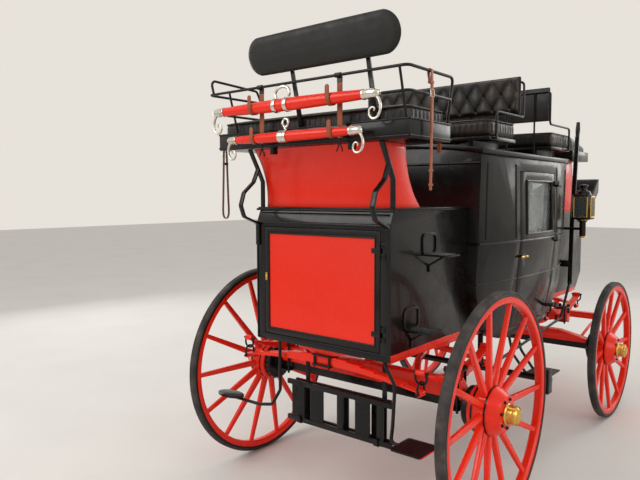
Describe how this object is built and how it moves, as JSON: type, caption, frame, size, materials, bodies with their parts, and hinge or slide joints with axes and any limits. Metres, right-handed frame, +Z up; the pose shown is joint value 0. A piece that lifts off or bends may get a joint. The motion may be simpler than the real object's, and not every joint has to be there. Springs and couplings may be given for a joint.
{
  "type": "road coach",
  "caption": "Four-wheeled horse-drawn road coach with a closed body, hind and front boots, roof seats, telegraph springs and a steered forecarriage.",
  "frame": {"origin": "on the ground under the middle of the coach's overall length and width", "axes": "+X to the coach's right, +Y forward, +Z up"},
  "size_m": [1.854, 3.6944, 2.4612],
  "materials": {
    "tyre": "worn grey-black rubber in an iron channel",
    "carriage_red": "vermilion coach paint over wood and iron",
    "hub_brass": "polished brass caps, black inside",
    "iron_black": "gloss black forged iron",
    "coach_black": "deep gloss black coach paint",
    "boot_door_paint": "gloss black frame round a vermilion panel",
    "seat_leather": "black leather",
    "inside_wood": "varnished seat boards",
    "bright_steel": "polished steel",
    "strap_leather": "tan bridle leather",
    "dark_leather": "dark brown bridle leather",
    "window_glass": "flat plate glass"
  },
  "bodies": {
    "coach": {"hind_axle_bed": "carriage_red", "fore_transom": "carriage_red", "perch": "carriage_red", "spring_blocks": "carriage_red", "side_springs": "carriage_red", "cross_springs": "carriage_red", "boot_sills": "carriage_red", "swingle_bars": "carriage_red", "seat_risers": "carriage_red", "hind_axle": "iron_black", "shackles": "iron_black", "spring_clips": "iron_black", "seat_rail": "iron_black", "roof_rails": "iron_black", "seat_irons": "iron_black", "boot_steps": "iron_black", "hanging_steps": "iron_black", "ladder": "iron_black", "hinge_irons": "iron_black", "brake_gear": "iron_black", "hind_boot": "coach_black", "front_boot": "coach_black", "body_shell": "coach_black", "roof": "coach_black", "hind_seat": "coach_black", "box_seat": "coach_black", "roof_seats": "coach_black", "footboard": "coach_black", "lamps": "coach_black", "hind_cushion": "seat_leather", "box_cushions": "seat_leather", "roof_cushions": "seat_leather", "roof_backs": "seat_leather", "lazyback": "seat_leather", "inside_cushions": "seat_leather", "inside_benches": "inside_wood", "bar_fittings": "bright_steel", "bar_straps": "strap_leather", "hand_straps": "dark_leather"},
    "wheel_hind_left": {"tyre_hind_left": "tyre", "wheel_hind_left": "carriage_red", "hub_hind_left": "hub_brass"},
    "wheel_hind_right": {"tyre_hind_right": "tyre", "wheel_hind_right": "carriage_red", "hub_hind_right": "hub_brass"},
    "wheel_fore_left": {"tyre_fore_left": "tyre", "wheel_fore_left": "carriage_red", "hub_fore_left": "hub_brass"},
    "wheel_fore_right": {"tyre_fore_right": "tyre", "wheel_fore_right": "carriage_red", "hub_fore_right": "hub_brass"},
    "forecarriage": {"fore_axle": "iron_black", "fore_bed": "carriage_red", "futchells": "carriage_red", "splinter_bar": "carriage_red"},
    "boot_door": {"boot_door": "boot_door_paint"},
    "door_left": {"door_left": "coach_black", "door_glass_left": "window_glass"},
    "door_right": {"door_right": "coach_black", "door_glass_right": "window_glass"}
  },
  "joints": [
    {"name": "steer", "type": "hinge", "parent": "coach", "child": "forecarriage", "pos_m": [0, 0.928, 0.66], "axis": [0, 0, 1], "range_deg": [-22, 22]},
    {"name": "wheel_hind_left_spin", "type": "hinge", "parent": "coach", "child": "wheel_hind_left", "pos_m": [-0.82, -1.172, 0.603], "axis": [1, 0, 0], "continuous": true},
    {"name": "wheel_hind_right_spin", "type": "hinge", "parent": "coach", "child": "wheel_hind_right", "pos_m": [0.82, -1.172, 0.603], "axis": [1, 0, 0], "continuous": true},
    {"name": "wheel_fore_left_spin", "type": "hinge", "parent": "forecarriage", "child": "wheel_fore_left", "pos_m": [-0.8, 0.928, 0.51], "axis": [1, 0, 0], "continuous": true},
    {"name": "wheel_fore_right_spin", "type": "hinge", "parent": "forecarriage", "child": "wheel_fore_right", "pos_m": [0.8, 0.928, 0.51], "axis": [1, 0, 0], "continuous": true},
    {"name": "boot_door_hinge", "type": "hinge", "parent": "coach", "child": "boot_door", "pos_m": [0.391, -1.5895, 1.205], "axis": [0, 0, 1], "range_deg": [0, 110]},
    {"name": "door_left_hinge", "type": "hinge", "parent": "coach", "child": "door_left", "pos_m": [-0.614, 0.2185, 1.385], "axis": [0, 0, -1], "range_deg": [0, 90]},
    {"name": "door_right_hinge", "type": "hinge", "parent": "coach", "child": "door_right", "pos_m": [0.614, 0.2185, 1.385], "axis": [0, 0, 1], "range_deg": [0, 90]}
  ]
}
